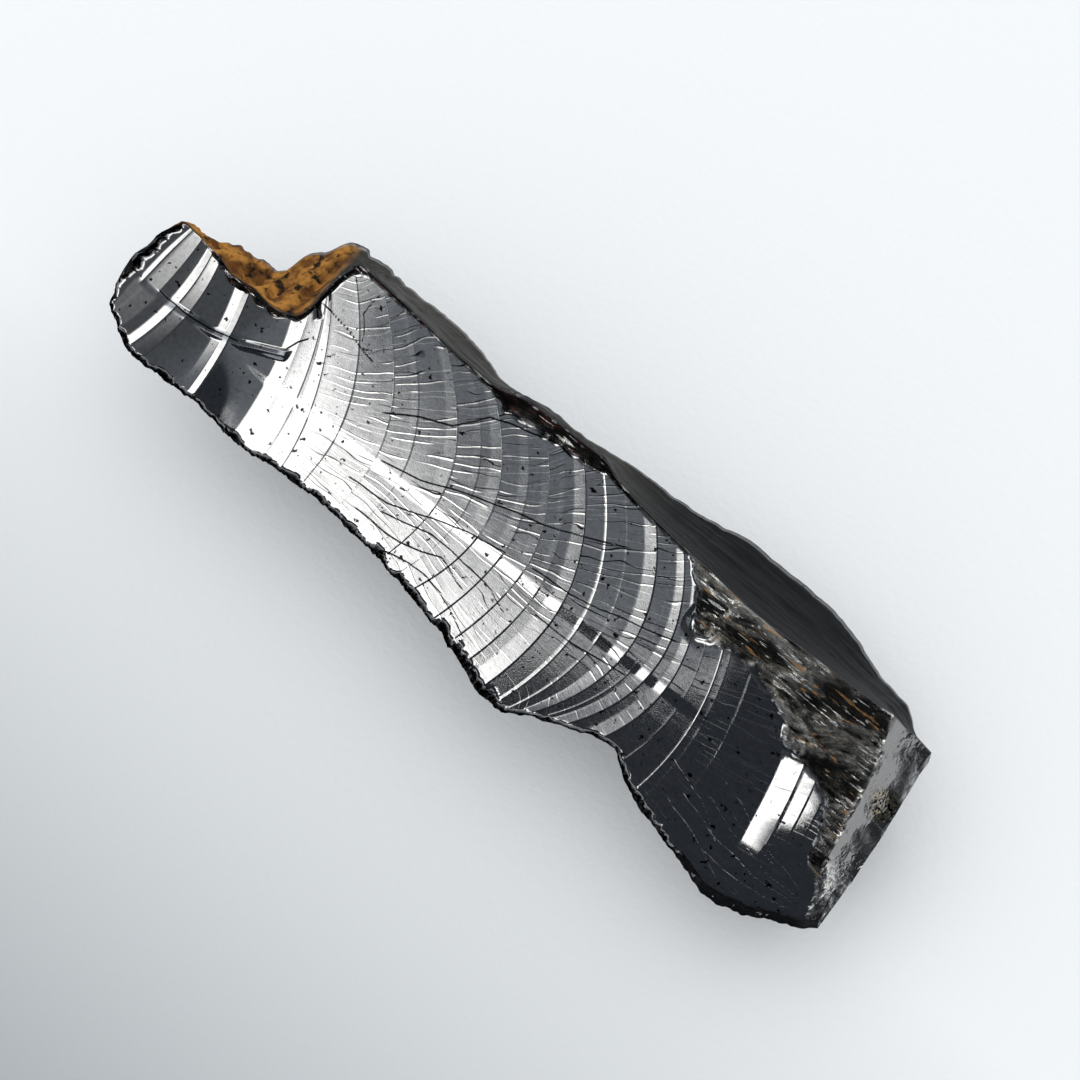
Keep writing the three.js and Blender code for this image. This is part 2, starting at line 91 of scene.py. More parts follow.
# The stone. Tables are in mm and measured from a mark near its middle. Each point of an edge is
# (x, y), or (x, y, z) where the edge doesn't lie on the face.
stone = {
    "tip": -26.75,  # nose of the first fracture front
    "end": 25.75,  # nose of the last one
    "tipCap": 0.35,  # how far the broken tip stands out
    "farReach": 8.5,  # how far the far edge reaches
    "endFace": 24.4,  # middle of the scooped face at the broad end
    "foot": (-23.4, 24.2),  # the underside reaches from here to here
    "rest": (-14.0, 22.6),  # and is flat between these
    "tipUnderside": 4.7,  # its height under the tip
    "endRise": 0.35,
    "nearInset": 3.1,  # the near side leans in under its edge
    "leanShift": 1.9,
    "leanHeight": 7.0,
    "leastFoot": 0.8,
    "middleY": -1.2,  # a line that stays between the near edge and the ridge
    "outside": (-12, 9),  # y beyond both
    "columns": {"top": 146, "flank": 18, "farUnder": 8, "base": 4, "nearUnder": 11},
    "capRings": 6,
    "rowGap": 0.13,  # between rings, and closer beside the corners of the ribs
    "cornerGap": 0.035,
    "leastGap": 0.03,
    "sharpAngle": 38,  # degrees
    # height and cross slope of the top face along the stone: (x, height on the middle line, slope in y)
    "face": [
        (-27, 8.37, 0.06), (-24, 8.33, 0.07), (-20, 8.4, 0.15), (-16.5, 8.56, 0.262), (-13, 8.6, 0.278),
        (-4, 8.6, 0.278), (6, 8.6, 0.278), (12, 8.6, 0.278), (18, 8.35, 0.262), (21.5, 8.08, 0.25),
        (26, 7.6, 0.24),
    ],
    "nearEdge": [
        (-26.6, -2.6), (-26.0, -4.1), (-25.1, -4.6), (-24.2, -5.2), (-23.0, -5.5), (-21.1, -5.4),
        (-18.4, -5.2), (-15.3, -5.4), (-12.3, -5.2), (-9.8, -5.2), (-6.1, -5.5), (-2.4, -6.1),
        (0.0, -6.6), (2.3, -7.3), (4.2, -7.9), (5.1, -7.9), (6.8, -7.1), (8.6, -6.5), (10.3, -5.9),
        (11.6, -5.8), (12.4, -6.3), (13.1, -6.7), (15.0, -7.4), (17.2, -7.9), (18.8, -8.3),
        (20.0, -8.6), (21.6, -8.3), (23.6, -7.4), (24.9, -6.8), (25.9, -6.0),
    ],
    "ridge": [
        (-26.6, 1.5), (-25.8, 2.2), (-24.4, 2.0), (-23.0, 1.8), (-21.8, 1.5), (-20.5, 1.6),
        (-18.9, 1.4), (-17.4, 1.8), (-17.0, 2.6), (-16.8, 4.7), (-16.3, 6.0), (-14.6, 5.9),
        (-11.6, 5.6), (-8.8, 5.3), (-6.2, 5.2), (-3.6, 5.7), (-0.7, 5.7), (1.0, 5.7), (2.7, 5.2),
        (5.2, 4.8), (7.8, 4.5), (10.8, 4.2), (13.5, 4.0), (16.1, 4.1), (18.8, 4.2), (21.2, 4.3),
        (23.4, 4.7),
    ],
    "farEdge": [
        (-26.4, 1.9, 8.0), (-25.6, 2.5, 7.4), (-24.6, 3.0, 6.8), (-22.8, 3.9, 6.3), (-21.2, 4.0, 6.1),
        (-20.6, 4.4, 6.1), (-20.3, 5.6, 6.3), (-19.3, 6.7, 6.6), (-18.6, 7.6, 6.8), (-17.5, 8.1, 6.6),
        (-14.7, 8.0, 6.0), (-11.5, 7.9, 6.0), (-9.1, 7.6, 6.0), (-7.7, 7.1, 6.4), (-6.1, 6.6, 7.0),
        (-3.3, 6.8, 7.6), (-0.9, 6.75, 7.6), (1.5, 7.15, 7.2), (2.9, 7.4, 6.8), (5.0, 7.6, 6.2),
        (7.5, 8.0, 5.8), (9.7, 8.5, 5.5), (12.3, 8.5, 5.2), (14.8, 8.5, 4.9), (17.2, 8.0, 4.8),
        (19.5, 7.1, 5.0), (21.7, 6.6, 5.3), (23.2, 5.5, 5.6), (24.7, 4.7, 5.8),
    ],
    "farFoot": [
        (-24, 0.2), (-18, 1.4), (-12, 2.7), (-4, 3.3), (4, 3.8), (14, 4.4), (20, 4.0), (24, 2.9),
    ],
    # scoops of the broken faces: (middle, half length, depth)
    "flankScoops": [(-20.5, 3.4, 0.5), (-12, 6, 0.3), (8, 17, 0.3)],
    "farScoops": [(-17, 7, 0.4), (-3, 8, -0.3), (13, 9, 0.35)],
    "nearScoops": [(-16, 8, 0.5), (0, 9, 0.6), (17, 8, 0.5)],
    # fracture fronts: (nose x, nose y, bend above, bend below, x at the far edge)
    "fronts": [
        (-26.75, -0.4, -0.16, -0.1, -26.4), (-24.8, -1.2, 0.02, 0.06, -25.0),
        (-22.3, -2.2, 0.09, 0.08, -23.0), (-18.8, -6.0, 0.053, 0.05, -20.5),
        (-15.1, -6.0, 0.054, 0.05, -18.3), (-12.6, -6.0, 0.082, 0.04, -16.6),
        (-11.1, -3.6, 0.125, 0.03, -15.2), (-6.0, -2.4, 0.18, 0.08, -10.6),
        (-1.5, -1.6, 0.2, 0.12, -6.0), (0.1, -1.6, 0.18, 0.075, -4.2), (4.7, -3.0, 0.13, 0.075, 0.6),
        (10.3, -1.4, 0.16, 0.16, 7.2), (15.7, -5.0, 0.06, 0.05, 13.4), (22.4, -8.0, 0.035, 0.03, 21.0),
        (25.75, -8.0, 0.014, 0.02, 24.6),
    ],
    # ribs across the face: (crest, length of the rise, its slope, slope of the flat before it,
    # step down behind)
    "ribs": [
        (-25.5, 0.25, 0.2, -0.07, 0.02), (-24.35, 0.95, 0.035, 0.0, 0.02),
        (-23.05, 0.5, 0.2, -0.04, 0.015), (-22.2, 0.75, 0.035, 0.0, 0.02),
        (-19.45, 0.65, 0.07, -0.12, 0.0), (-19.0, 0.4, 0.25, 0.07, 0.03),
        (-15.1, 0.85, 0.16, -0.13, 0.0), (-13.8, 1.1, 0.015, 0.0, 0.006), (-12.6, 0.8, 0.1, 0.0, 0.012),
        (-11.1, 1.3, 0.012, 0.0, 0.01), (-8.6, 0.5, 0.003, 0.0, 0.003), (-6.9, 0.5, 0.004, 0.0, 0.004),
        (-4.4, 0.7, 0.008, 0.0, 0.008), (-2.9, 0.5, 0.005, 0.0, 0.004), (-1.5, 0.8, 0.01, 0.0, 0.012),
        (0.2, 0.6, 0.01, -0.002, 0.009), (1.7, 0.6, 0.006, -0.002, 0.006),
        (3.0, 0.5, 0.006, -0.002, 0.005), (4.6, 0.9, 0.02, -0.004, 0.016),
        (6.0, 0.12, 0.08, -0.006, 0.008), (7.2, 0.1, 0.03, -0.006, 0.005),
        (8.85, 0.75, 0.045, -0.006, 0.02), (9.7, 0.06, 0.04, -0.006, 0.004),
        (10.6, 0.6, 0.045, -0.006, 0.02), (11.75, 0.6, 0.045, -0.006, 0.015),
        (12.9, 0.06, 0.05, -0.01, 0.005), (14.15, 0.07, 0.12, -0.02, 0.008),
        (14.65, 0.05, 0.1, -0.02, 0.005), (16.2, 0.05, 0.06, -0.02, 0.004),
        (21.1, 1.3, 0.34, -0.1, 0.09), (22.0, 0.8, 0.19, 0.0, 0.004), (22.7, 0.64, 0.185, 0.0, 0.004),
        (23.5, 0.74, 0.18, 0.0, 0.05),
    ],
    # stretches of ribs that reach only part of the way across: (from, to, faded out here, whole here)
    "shortRibs": [
        (-26.0, -25.38, -2.2, -1.6), (-25.25, -24.2, -2.2, -1.6), (19.8, 21.2, -7.2, -2.6),
        (21.25, 23.6, -7.0, -2.0),
    ],
    "valleyCurve": 0.3,  # how hollow the flats between the ribs are
    # where the hackles start anew
    "hackleStarts": (-12.6, -8.6, -4.4, -1.5, 1.7, 4.6, 8.85, 12.9, 16.2),
    "ribDrop": 0.06,  # how far behind its crest a rib has come down
    # crushed band beside the ridge, at the broad end
    "bandEdge": [
        (7.4, 4.9), (9.0, 3.7), (10.2, 2.6), (11.4, 1.5), (12.8, 1.5), (14.7, 1.6), (16.4, 1.1),
        (17.8, 0.5), (18.6, -0.2), (19.8, -0.5), (20.9, -0.8), (22.1, -1.4), (22.8, -2.4), (23.3, -4.2),
        (24.1, -4.8), (25.3, -6.2),
    ],
    "bandDepth": 0.75,
    "bandWall": 0.5,
    "bandStart": 8.3,
    # curls at its edge: (x, y, radius, depth)
    "curls": [(11.3, 2.1, 1.3, 0.3), (19.2, 0.0, 0.8, 0.2)],
    # the slant at the broad end: inner edge (y, x)
    "slantEdge": [
        (-7.0, 25.2), (-5.2, 24.5), (-3.7, 23.9), (-2.3, 23.6), (-0.7, 23.3), (1.4, 22.9), (3.7, 22.2),
        (5.0, 21.9),
    ],
    "slantFall": 0.7,
    "slantHollow": 0.35,
    "slantReach": 2.0,
    "slantAtFarEdge": 0.35,
    # black crushed rim under the ridge: (x, width)
    "rimWidth": [
        (-24.2, 0.1), (-23, 0.3), (-21, 0.5), (-19, 0.4), (-17.6, 0.2), (-17, 0.3), (-14, 0.3),
        (-11, 0.2), (-8.8, 0.15), (-6.2, 0.3), (-4.6, 0.75), (-3.4, 1.1), (-0.7, 1.0), (1, 0.9),
        (2.7, 0.35), (5, 0.2), (9, 0.15),
    ],
    "moreChips": (2.4, 1.8, 1.2),  # middle, half length and how much more
    "rimDepth": 0.35,
    # a smooth scratch cuts the ribs at the tip: (points, half width, depth)
    "scratches": [
        ([(-25.6, -1.9), (-24.0, -2.0), (-22.4, -1.95), (-20.6, -1.65), (-18.7, -1.2), (-17.0, -0.4),
          (-16.2, -0.1)], 0.36, 0.07),
    ],
    # folds that stand out of the crushed band: (points, half width, height)
    "lips": [
        ([(11.7, 2.6), (12.4, 3.7), (13.8, 3.9), (15.9, 3.3), (17.4, 3.1)], 0.55, 0.4),
        ([(16.5, 1.4), (18.4, 1.3), (20.6, 0.5)], 0.4, 0.2),
        ([(18.6, 0.2), (19.3, 0.5), (19.6, 0.0)], 0.3, 0.22),
    ],
    # pale scratches near the edge at the broad end, and cracks painted dark with shade. Most have no
    # depth: they are thin marks on the gloss.
    "scars": [
        ([(16.4, -6.3), (18.4, -6.9), (21.0, -7.0), (24.4, -6.4)], 0.12, 0.0),
        ([(15.6, -5.2), (18.2, -5.9), (21.2, -6.3), (24.2, -6.0)], 0.12, 0.0),
        ([(16.6, -4.5), (19.2, -5.2), (22.0, -5.8), (24.4, -5.6)], 0.1, 0.0),
        ([(17.0, -3.4), (19.2, -4.0), (21.8, -5.0), (24.0, -5.3)], 0.12, 0.0),
        ([(15.2, -5.9), (17.6, -6.6), (20.2, -7.6)], 0.11, 0.0),
        ([(18.2, -4.4), (20.4, -4.9), (22.6, -5.4)], 0.1, 0.0),
        ([(14.2, -4.2), (16.8, -5.0), (19.0, -6.2)], 0.1, 0.0),
    ],
    "cracks": [
        ([(-17.0, 3.2), (-14.7, 2.9), (-13.0, 2.4), (-12.2, 2.2)], 0.13, 0.0),
        ([(-14.3, 5.5), (-14.4, 4.0), (-13.3, 2.7)], 0.12, 0.0),
        ([(-17.1, 3.1), (-16.3, 2.3)], 0.28, 0.1),
        ([(-16.7, 0.0), (-16.3, 0.8), (-15.9, 1.3)], 0.15, 0.0),
        ([(-24.6, -1.7), (-22.6, -1.9), (-20.8, -1.7), (-18.8, -1.15)], 0.11, 0.0),
        ([(-8.8, -1.6), (-6.0, -1.1), (-2.7, 0.1), (1.9, 1.3), (6.0, 3.0)], 0.13, 0.0),
        ([(-10.4, 0.3), (-8.2, 1.5), (-6.4, 2.2), (-5.0, 3.8), (-3.9, 4.1), (-1.4, 4.8), (0.3, 4.7)],
         0.15, 0.0),
        ([(-9.6, -3.2), (-6.6, -3.1), (-2.2, -1.7), (0.6, -1.3)], 0.12, 0.0),
        ([(-8.3, -4.3), (-4.7, -4.3), (-2.4, -3.6), (0.0, -4.2)], 0.13, 0.0),
        ([(-9.2, -5.3), (-6.3, -5.4), (-3.5, -4.8), (-1.2, -5.0), (1.8, -6.4)], 0.13, 0.0),
        ([(-7.0, -3.7), (-3.6, -3.0), (-0.6, -3.0), (2.6, -3.9)], 0.12, 0.0),
        ([(1.6, -1.2), (4.6, -0.9), (8.0, -0.2), (11.0, 0.6)], 0.12, 0.0),
        ([(3.4, -2.9), (6.2, -2.9), (9.9, -2.4)], 0.12, 0.0),
    ],
}


def clamp(v, low=0.0, high=1.0):
    return min(high, max(low, v))


def mix(a, b, t):
    return a + (b - a) * t


def smooth(low, high, v):
    t = clamp((v - low) / (high - low))
    return t * t * (3 - 2 * t)


# A curve through a list of points that never overshoots: it reads one of a point's numbers at a
# value of the first
def curve(points, key=1):
    xs = [p[0] for p in points]
    ys = [p[key] for p in points]
    slopes = [(ys[i + 1] - ys[i]) / (xs[i + 1] - xs[i]) for i in range(len(xs) - 1)]
    inner = [2 * a * b / (a + b) if a * b > 0 else 0.0 for a, b in zip(slopes, slopes[1:])]
    tangents = [slopes[0]] + inner + [slopes[-1]]

    def read(x):
        if x <= xs[0]:
            return ys[0]
        if x >= xs[-1]:
            return ys[-1]
        i = bisect_right(xs, x) - 1
        span = xs[i + 1] - xs[i]
        t = (x - xs[i]) / span
        u = 1 - t
        return (ys[i] * (1 + 2 * t) * u * u + ys[i + 1] * t * t * (3 - 2 * t)
                + span * (tangents[i] * t * u * u - tangents[i + 1] * t * t * u))

    return read


nearY = curve(stone["nearEdge"])
ridgeY = curve(stone["ridge"])
faceHeight, faceSlope = curve(stone["face"], 1), curve(stone["face"], 2)
farY, farZ = curve(stone["farEdge"], 1), curve(stone["farEdge"], 2)
farFootY = curve(stone["farFoot"])
frontNoseY, frontUp, frontDown, frontFarX = [curve(stone["fronts"], key) for key in (1, 2, 3, 4)]
bandY = curve(stone["bandEdge"])
slantX = curve(stone["slantEdge"])
rimWidth = curve(stone["rimWidth"])


# Smooth noise, about -0.7 to 0.7
def rough(x, y, seed):
    return noise.noise(Vector((x, y, seed)))


# Sharp crests between round hollows, at most 1
def crests(x, y, seed):
    return 1 - 2 * abs(noise.noise(Vector((x, y, seed))))


# Where a fracture front lies at a distance across the stone
def frontX(nose, front, y):
    d = y - front[0]
    return nose - 0.5 * d * d * (front[1] if d > 0 else front[2])


# The tilted plane of the face, before its relief
def faceZ(x, y):
    return faceHeight(x) + faceSlope(x) * y


# Where a front crosses an edge, found by halving
def crossing(nose, front, edgeY, low, high):
    for _ in range(28):
        y = (low + high) / 2
        if edgeY(frontX(nose, front, y)) > y:
            low = y
        else:
            high = y
    x = frontX(nose, front, low)
    return Vector((x, low, faceZ(x, low)))


# Corners of the rib profile along the stone: (front, height, how hollow the stretch after it is)
def ribCorners():
    corners = [(stone["tip"] - 1.0, 0.0, 0.0)]
    for at, rise, riseSlope, flatSlope, step in stone["ribs"]:
        x, height, _ = corners[-1]
        valley = height + (at - rise - x) * flatSlope
        corners[-1] = (x, height, stone["valleyCurve"] * (valley - height))
        crest = valley + rise * riseSlope
        corners += [(at - rise, valley, 0.0), (at, crest, 0.0)]
        corners.append((at + stone["ribDrop"], crest - step, 0.0))
    return corners


corners = ribCorners()
cornerPlaces = [c[0] for c in corners]


def ribHeight(nose):
    i = bisect_right(cornerPlaces, nose) - 1
    if i >= len(corners) - 1:
        return corners[-1][1]
    (x0, h0, hollow), (x1, h1, _) = corners[i], corners[i + 1]
    t = (nose - x0) / (x1 - x0)
    return mix(h0, h1, t) + hollow * t * (1 - t)


# The same where some ribs fade out towards the near edge
def ribAt(nose, y, plain):
    h = plain
    for start, stop, fadedY, wholeY in stone["shortRibs"]:
        if nose > start:
            h += (ribHeight(min(nose, stop)) - ribHeight(start)) * (smooth(fadedY, wholeY, y) - 1)
    return h


# Distance from a point to a line of points, and how far along it the nearest place is, 0 to 1
def toLine(x, y, points):
    best, place = math.inf, 0.0
    for i in range(len(points) - 1):
        (ax, ay), (bx, by) = points[i], points[i + 1]
        dx, dy = bx - ax, by - ay
        t = clamp(((x - ax) * dx + (y - ay) * dy) / (dx * dx + dy * dy))
        away = math.hypot(x - ax - t * dx, y - ay - t * dy)
        if away < best:
            best, place = away, (i + t) / (len(points) - 1)
    return best, place


# How much of a groove there is at a place, 0 to 1, and its depth. Its line wanders a little.
def grooveAt(x, y, grooves, floorShare):
    most, depth = 0.0, 0.0
    for points, width, deep in grooves:
        if x < points[0][0] - 0.6 or x > max(p[0] for p in points) + 0.6:
            continue
        wander = 0.14 * rough(x * 0.6, y * 0.6, deep * 50)
        away, place = toLine(x + wander, y + wander, points)
        if away < width:
            ends = smooth(0, 0.05, place) * smooth(1, 0.95, place)
            share = smooth(width, width * floorShare, away) * ends
            if share > most:
                most, depth = share, deep
    return most, depth


# Small forms on the stone, in mm. Each bump is (height, how many there are in a mm, seed).
relief = {
    "faceSwell": [(0.003, 0.3, 5.5)],
    "hackledFrom": (-13.0, -10.5),  # the hackles start between these fronts
    "calm": 0.6,  # and are weaker near the edge past the middle, from front 1 to 3
    "bandWander": [(0.3, 1.1, 3.5), (0.16, 3.1, 4.5)],
    # folds of the crushed band: (share, how many in a mm across, along, seed)
    "folds": [(0.5, 1.0, 0.17, 12), (0.3, 2.6, 0.4, 13), (0.2, 6.0, 1.1, 14)],
    "foldHeight": 0.34,
    "foldLean": 0.1,
    "foldWander": 0.7,
    "curlRings": (0.07, 11),  # height of the rings and how close they are
    "curlWander": (0.15, 1.5, 33.5),
    "rimWander": (0.5, 1.6, 21),
    "rimPits": (0.5, 1.3, 22.5),
    "rimLevel": 0.75,
    "rimEnd": 9,  # x
    "chipWidth": 0.14,
    "chipScallops": (0.42, 1.1, 31.5),
    "chipNicks": (0.2, 4, 32.5),
    "chipDepth": 0.3,
    "chipPits": 5,  # in a mm
    "brokenTip": (-26.25, -26.6),  # fronts
    "glitterAt": (24.5, 0.9),
    "slantLumps": [(0.5, 0.5, 81.5), (0.2, 1.3, 82.5)],
    "rustLumps": [(0.5, 0.9, 41.5), (0.4, 2.1, 42.5), (0.14, 5, 45.5)],
    "rustFrom": (-14.5, -17),
    "nearWander": [(0.1, 1.3, 71.5), (0.07, 3.7, 72.5)],
    "farWander": [(0.3, 1.1, 73.5), (0.2, 2.9, 74.5)],
    # the far edge is ragged where it is rusty, between these x
    "raggedFar": ((-14.2, -15.5), (-25, -24)),
    "leastRagged": 0.25,
    "raggedTip": (-25.9, -26.7),
    "capWander": (0.25, 0.7, 61),
}


def bumps(x, y, layers):
    return sum(height * rough(x * perMm, y * perMm, seed) for height, perMm, seed in layers)


# The same along a line
def lineBumps(along, layers):
    return sum(height * rough(along * perMm, 0.5, seed) for height, perMm, seed in layers)


# Small rings in the crushed edge
def curlHeight(x, y):
    h = 0.0
    ringHeight, closeness = relief["curlRings"]
    for cx, cy, radius, depth in stone["curls"]:
        away = math.hypot(x - cx, y - cy) + bumps(x, y, [relief["curlWander"]])
        if away < radius:
            share = smooth(radius, radius * 0.4, away)
            h += share * (ringHeight * math.cos(away * closeness) - depth)
    return h


# Folds of the crushed band, which flow along the stone
def foldsAt(x, y):
    flow = y - relief["foldLean"] * (x - 15) + relief["foldWander"] * rough(x * 0.3, y * 0.5, 11)
    folds = relief["folds"]
    return sum(share * crests(flow * across, x * along, seed) for share, across, along, seed in folds)


# The chipped near edge and the broken tip, 0 to 1. The material paints shade there.
def chipAt(x, y, nose, fromNear):
    scallop, perMm, seed = relief["chipScallops"]
    width = relief["chipWidth"] + scallop * max(0, rough(x * perMm, 0.4, seed) + 0.2) ** 1.5
    nick, perMm, seed = relief["chipNicks"]
    width += nick * abs(rough(x * perMm, 0.4, seed))
    middle, halfLength, more = stone["moreChips"]
    width *= 1 + more * math.exp(-((x - middle) / halfLength) ** 2)
    tipHere = nose + 0.3 * rough(y * 2, 0.5, 35.5)
    return max(smooth(width, width * 0.6, fromNear), smooth(*relief["brokenTip"], tipHere))


# The top surface over the tilted plane, and its marks
def topRelief(x, y, nose, rib, fromNear, toRidge, slant):
    bandIn = y - bandY(x) + bumps(x, y, relief["bandWander"])
    band = smooth(0, stone["bandWall"], bandIn)
    band *= smooth(stone["bandStart"] - 1, stone["bandStart"] + 1, x) * smooth(0.3, 0.05, slant)
    h = rib * (1 - band) + bumps(x, y, relief["faceSwell"])

    # hackles run the way the crack ran, so they are long across the fronts
    hackle = smooth(*relief["hackledFrom"], nose) * (1 - band) * smooth(0, 0.6, fromNear)
    hackle *= smooth(0.2, 0, slant)
    hackle *= 1 - relief["calm"] * smooth(1, 3, nose) * smooth(-2.8, -3.8, y)

    # the crushed band is sunk
    folds = foldsAt(x, y)
    lip, lipHeight = grooveAt(x, y, stone["lips"], 0.0)
    foldsHere = relief["foldHeight"] * folds * smooth(0, 0.5, toRidge)
    h += band * (foldsHere - stone["bandDepth"] * smooth(0, 1.6, toRidge))
    h += lipHeight * lip * smooth(0, 0.3, toRidge)
    h += curlHeight(x, y)
    # the material paints highlights on the crests of the folds and on the lips
    folds = max(folds, 1.1 * lip)

    # black crushed rim under the ridge, and the chipped near edge
    more, perMm, seed = relief["rimWander"]
    rimHere = rimWidth(x) * (1 + more * rough(x * perMm, 0, seed))
    rim = smooth(rimHere, rimHere * 0.6, toRidge) * smooth(relief["rimEnd"], relief["rimEnd"] - 1, x)
    rimLevel = relief["rimLevel"] + bumps(x, y, [relief["rimPits"]])
    h -= rim * smooth(0, 0.4, toRidge) * stone["rimDepth"] * rimLevel
    chip = chipAt(x, y, nose, fromNear)
    h -= chip * relief["chipDepth"] * (0.7 + rough(x * relief["chipPits"], y * relief["chipPits"], 34.5))

    scratch, depth = grooveAt(x, y, stone["scratches"], 0.3)
    h = mix(h, 0.5 * rib - depth, scratch)
    crack, depth = grooveAt(x, y, stone["cracks"], 0.0)
    h -= depth * crack
    toGlitter = math.hypot(x - relief["glitterAt"][0], y - relief["glitterAt"][1])
    return h, {
        "band": band, "rim": rim, "chip": chip, "groove": crack, "hackle": hackle, "scratch": scratch,
        "scar": grooveAt(x, y, stone["scars"], 0.0)[0], "glitter": smooth(1.1, 0.5, toGlitter),
        "slant": smooth(0, 0.2, slant), "fold": folds,
    }


# How far the slant at the broad end has dropped
def slantDrop(x, y):
    out = x - slantX(y)
    if out <= 0:
        return 0.0
    scoop = stone["slantHollow"] * math.sin(clamp(out / stone["slantReach"]) * math.pi)
    scoop += smooth(0, 0.6, out) * bumps(x, y, relief["slantLumps"])
    return out * stone["slantFall"] + scoop


# Points across a broken face, from one edge towards another
def facePoints(start, stop, count, scoops, lumps):
    out = Vector((0, start.z - stop.z, stop.y - start.y)).normalized()
    points = []
    for k in range(count):
        t = k / count
        p = start.lerp(stop, t)
        depth = sum(deep * max(0, 1 - ((p.x - at) / half) ** 2) for at, half, deep in scoops)
        swell = 4 * t * (1 - t)
        points.append(p + out * (swell * (lumps(p) - depth)))
    return points


# The far side is smooth, with bands along it, and lumpy where it is rusty
def flankLumps(p):
    lump = 0.0
    for height, perMm, seed in relief["rustLumps"]:
        lump += height * rough(p.x * perMm, p.z * perMm + p.y, seed)
    plain = 0.09 * rough(p.x * 0.4, p.z * 1.2, 43.5)
    plain += 0.04 * crests(p.x * 0.22, p.z * 2.2 + 0.3 * p.x, 44.5)
    return mix(plain, lump, smooth(*relief["rustFrom"], p.x))


def underLumps(p):
    return 0.22 * rough(p.x * 0.45, p.z * 0.6, 51) + 0.1 * crests(p.x * 0.8, p.z * 0.9, 52)


# One closed ring of the stone. Each entry is a point and its marks.
def ring(nose, older):
    front = (frontNoseY(nose), frontUp(nose), frontDown(nose))
    near = crossing(nose, front, nearY, stone["outside"][0], stone["middleY"])
    back = crossing(nose, front, ridgeY, stone["middleY"], stone["outside"][1])
    farX = frontFarX(nose)
    far = Vector((farX, farY(farX), farZ(farX)))
    near.y += lineBumps(nose, relief["nearWander"])
    raggedFrom, raggedTo = relief["raggedFar"]
    ragged = mix(relief["leastRagged"], 1.0, smooth(*raggedFrom, farX) * smooth(*raggedTo, farX))
    far.y += ragged * lineBumps(farX, relief["farWander"])
    share = (nose - stone["tip"]) / (stone["end"] - stone["tip"])
    footX = mix(*stone["foot"], share)
    restFrom, restTo = stone["rest"]
    toTip = clamp((restFrom - footX) / (restFrom - stone["foot"][0]))
    footZ = stone["tipUnderside"] * toTip ** 1.6 + max(0, footX - restTo) * stone["endRise"]
    farFoot = Vector((footX, farFootY(footX), footZ))
    lean = clamp((near.z - footZ) / stone["leanHeight"])
    nearFootY = nearY(footX + stone["leanShift"] * lean) + stone["nearInset"] * lean
    nearFoot = Vector((footX, min(nearFootY, farFoot.y - stone["leastFoot"]), footZ))

    counts = stone["columns"]
    rib = ribHeight(nose)
    top, paths = [], []
    for k in range(counts["top"]):
        t = k / counts["top"]
        y = mix(near.y, back.y, t)
        x = frontX(nose, front, y)
        path = pathAt(nose, front, y, older)
        slant = slantDrop(x, y)
        h, values = topRelief(x, y, nose, ribAt(nose, y, rib), y - near.y, back.y - y, slant)
        z = faceZ(x, y) + h * smooth(1.2, 0, slant) - slant
        paths.append((y, path))
        top.append((Vector((x, y, z)), values | {"front": nose, "path": path}))
    back.z -= slantDrop(back.x, back.y)
    far.z -= stone["slantAtFarEdge"] * slantDrop(far.x, far.y)
    faces = [
        ("flank", facePoints(back, far, counts["flank"], stone["flankScoops"], flankLumps)),
        ("under", facePoints(far, farFoot, counts["farUnder"], stone["farScoops"], underLumps)),
        ("under", facePoints(farFoot, nearFoot, counts["base"], [], lambda p: 0.0)),
        ("under", facePoints(nearFoot, near, counts["nearUnder"], stone["nearScoops"], underLumps)),
    ]
    rest = []
    for name, points in faces:
        rest += [(p, {name: 1.0, "front": nose}) for p in points]
    # painted shade along the near edge, below the face
    for p, values in rest[-2:]:
        values["chip"] = 1.0
    jag = smooth(*relief["raggedTip"], nose)
    if jag > 0:
        for p, _ in top + rest:
            broad = 0.22 * rough(p.y * 1.3, p.z * 0.8, 75.5)
            p.x += jag * (broad + 0.12 * rough(p.y * 3.3, p.z * 2, 76.5))
    return top + rest, paths


# The path number of a point: it keeps its value along the way that the crack ran
def pathAt(nose, front, y, older):
    if older is None:
        return y
    olderNose, rowPaths = older
    if any(olderNose < start <= nose for start in stone["hackleStarts"]):
        return y
    d = y - front[0]
    bend = d * (front[1] if d > 0 else front[2])
    was = y - bend * (nose - olderNose) / (1 + bend * bend)
    (y0, p0), (y1, p1) = rowPaths[0], rowPaths[-1]
    step = (y1 - y0) / (len(rowPaths) - 1)
    i = int(clamp((was - y0) / step, 0, len(rowPaths) - 2))
    (ya, pa), (yb, pb) = rowPaths[i], rowPaths[i + 1]
    return pa + (pb - pa) * (was - ya) / (yb - ya)


# Where the rings lie: at every corner of the ribs, and evenly between them
def rowPlaces():
    stops = [stone["tip"], stone["end"]]
    for at, rise, _, _, _ in stone["ribs"]:
        behind = at + stone["ribDrop"]
        stops += [at - rise, at - stone["cornerGap"], at, behind, behind + stone["cornerGap"]]
    stops.sort()
    places = [stops[0]]
    for stop in stops[1:]:
        start = places[-1]
        if stop - start < stone["leastGap"]:
            continue
        steps = math.ceil((stop - start) / stone["rowGap"])
        places += [mix(start, stop, (k + 1) / steps) for k in range(steps)]
    return places


# Rings that close one end, drawn in towards its middle. The last one is a point.
def capRings(edge, middleX):
    middle = sum((p for p, _ in edge), Vector()) / len(edge)
    middle.x = middleX
    count = stone["capRings"] + 1
    rings = []
    for k in range(1, count + 1):
        t = k / count
        ringHere = []
        for p, _ in edge:
            q = p.lerp(middle, t)
            q.x += 4 * t * (1 - t) * bumps(q.y, q.z, [relief["capWander"]])
            ringHere.append((q, {"under": 1.0}))
        rings.append(ringHere)
    return rings


# What each point of the mesh carries for the material
marks = ("front", "path", "band", "rim", "chip", "groove", "hackle", "scratch", "scar", "glitter",
         "slant", "fold", "flank", "under")


